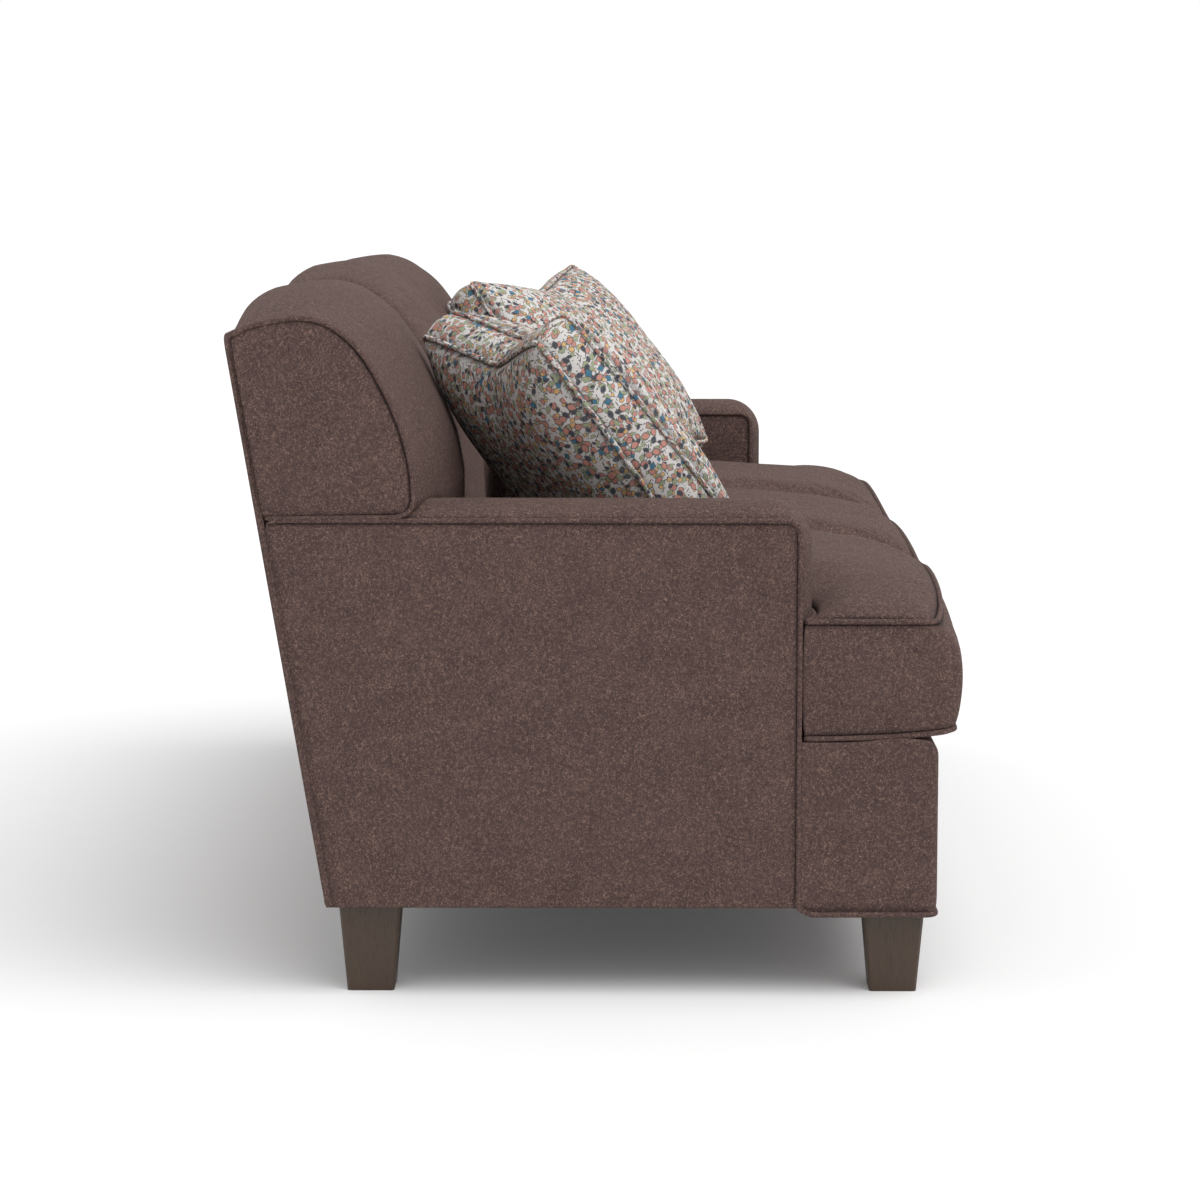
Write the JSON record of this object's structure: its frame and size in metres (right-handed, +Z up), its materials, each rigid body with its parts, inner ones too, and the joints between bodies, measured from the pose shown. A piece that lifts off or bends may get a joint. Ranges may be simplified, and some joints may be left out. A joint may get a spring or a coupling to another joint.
{
  "type": "three-seat track arm sofa",
  "caption": "Three-seat sofa with set-back square arms, T-shaped outer seat cushions, an attached sectioned back, tapered wood legs and boxed throw pillows.",
  "frame": {"origin": "floor level, at the middle of the sofa's width and depth", "axes": "+Z up, X along the seat's width, and the seat faces -Y. Right and left are those of a person sitting on it: right is -X"},
  "size_m": [2.032, 0.9436, 0.9177],
  "materials": {
    "upholstery": "matte",
    "pillow_print": "matte",
    "platform_cloth": "matte",
    "dust_cloth": "matte",
    "leg_wood": "satin",
    "frame_timber": "matte",
    "spring_steel": "satin"
  },
  "bodies": {
    "root": {"arm_cover_right": "upholstery", "arm_cover_left": "upholstery", "border_front": "upholstery", "border_top": "upholstery", "border_return_right": "upholstery", "border_return_left": "upholstery", "outside_back_panel": "upholstery", "back_section_right": "upholstery", "back_section_middle": "upholstery", "back_section_left": "upholstery", "seat_deck": "platform_cloth", "dust_cover": "dust_cloth", "leg_front_right": "leg_wood", "leg_front_left": "leg_wood", "leg_rear_right": "leg_wood", "leg_rear_left": "leg_wood", "front_rail": "frame_timber", "rear_rail": "frame_timber", "back_top_rail": "frame_timber", "back_lower_rail": "frame_timber", "side_rail_right": "frame_timber", "side_rail_left": "frame_timber", "cross_rail_right": "frame_timber", "cross_rail_left": "frame_timber", "arm_front_post_right": "frame_timber", "arm_front_post_left": "frame_timber", "arm_top_rail_right": "frame_timber", "arm_top_rail_left": "frame_timber", "back_outer_post_right": "frame_timber", "back_outer_post_left": "frame_timber", "back_inner_post_right": "frame_timber", "back_inner_post_left": "frame_timber", "corner_block_front_right": "frame_timber", "corner_block_front_left": "frame_timber", "corner_block_rear_right": "frame_timber", "corner_block_rear_left": "frame_timber", "hanger_bolt_front_right": "spring_steel", "hanger_bolt_front_left": "spring_steel", "hanger_bolt_rear_right": "spring_steel", "hanger_bolt_rear_left": "spring_steel", "seat_spring_right_1": "spring_steel", "seat_spring_right_2": "spring_steel", "seat_spring_right_3": "spring_steel", "seat_spring_middle_1": "spring_steel", "seat_spring_middle_2": "spring_steel", "seat_spring_middle_3": "spring_steel", "seat_spring_left_1": "spring_steel", "seat_spring_left_2": "spring_steel", "seat_spring_left_3": "spring_steel", "back_spring_right_1": "spring_steel", "back_spring_right_2": "spring_steel", "back_spring_middle_1": "spring_steel", "back_spring_middle_2": "spring_steel", "back_spring_left_1": "spring_steel", "back_spring_left_2": "spring_steel"},
    "seat_cushion_right": {"seat_cushion_right": "upholstery"},
    "seat_cushion_middle": {"seat_cushion_middle": "upholstery"},
    "seat_cushion_left": {"seat_cushion_left": "upholstery"},
    "throw_pillow_right": {"throw_pillow_right": "pillow_print"},
    "throw_pillow_left": {"throw_pillow_left": "pillow_print"}
  },
  "joints": [
    {"name": "lift_seat_cushion_right", "type": "slide", "parent": "root", "child": "seat_cushion_right", "axis": [0, 0, 1], "range_m": [0, 0.25]},
    {"name": "lift_seat_cushion_middle", "type": "slide", "parent": "root", "child": "seat_cushion_middle", "axis": [0, 0, 1], "range_m": [0, 0.25]},
    {"name": "lift_seat_cushion_left", "type": "slide", "parent": "root", "child": "seat_cushion_left", "axis": [0, 0, 1], "range_m": [0, 0.25]},
    {"name": "lift_throw_pillow_right", "type": "slide", "parent": "seat_cushion_right", "child": "throw_pillow_right", "axis": [0, 0, 1], "range_m": [0, 0.25]},
    {"name": "lift_throw_pillow_left", "type": "slide", "parent": "seat_cushion_left", "child": "throw_pillow_left", "axis": [0, 0, 1], "range_m": [0, 0.25]}
  ]
}
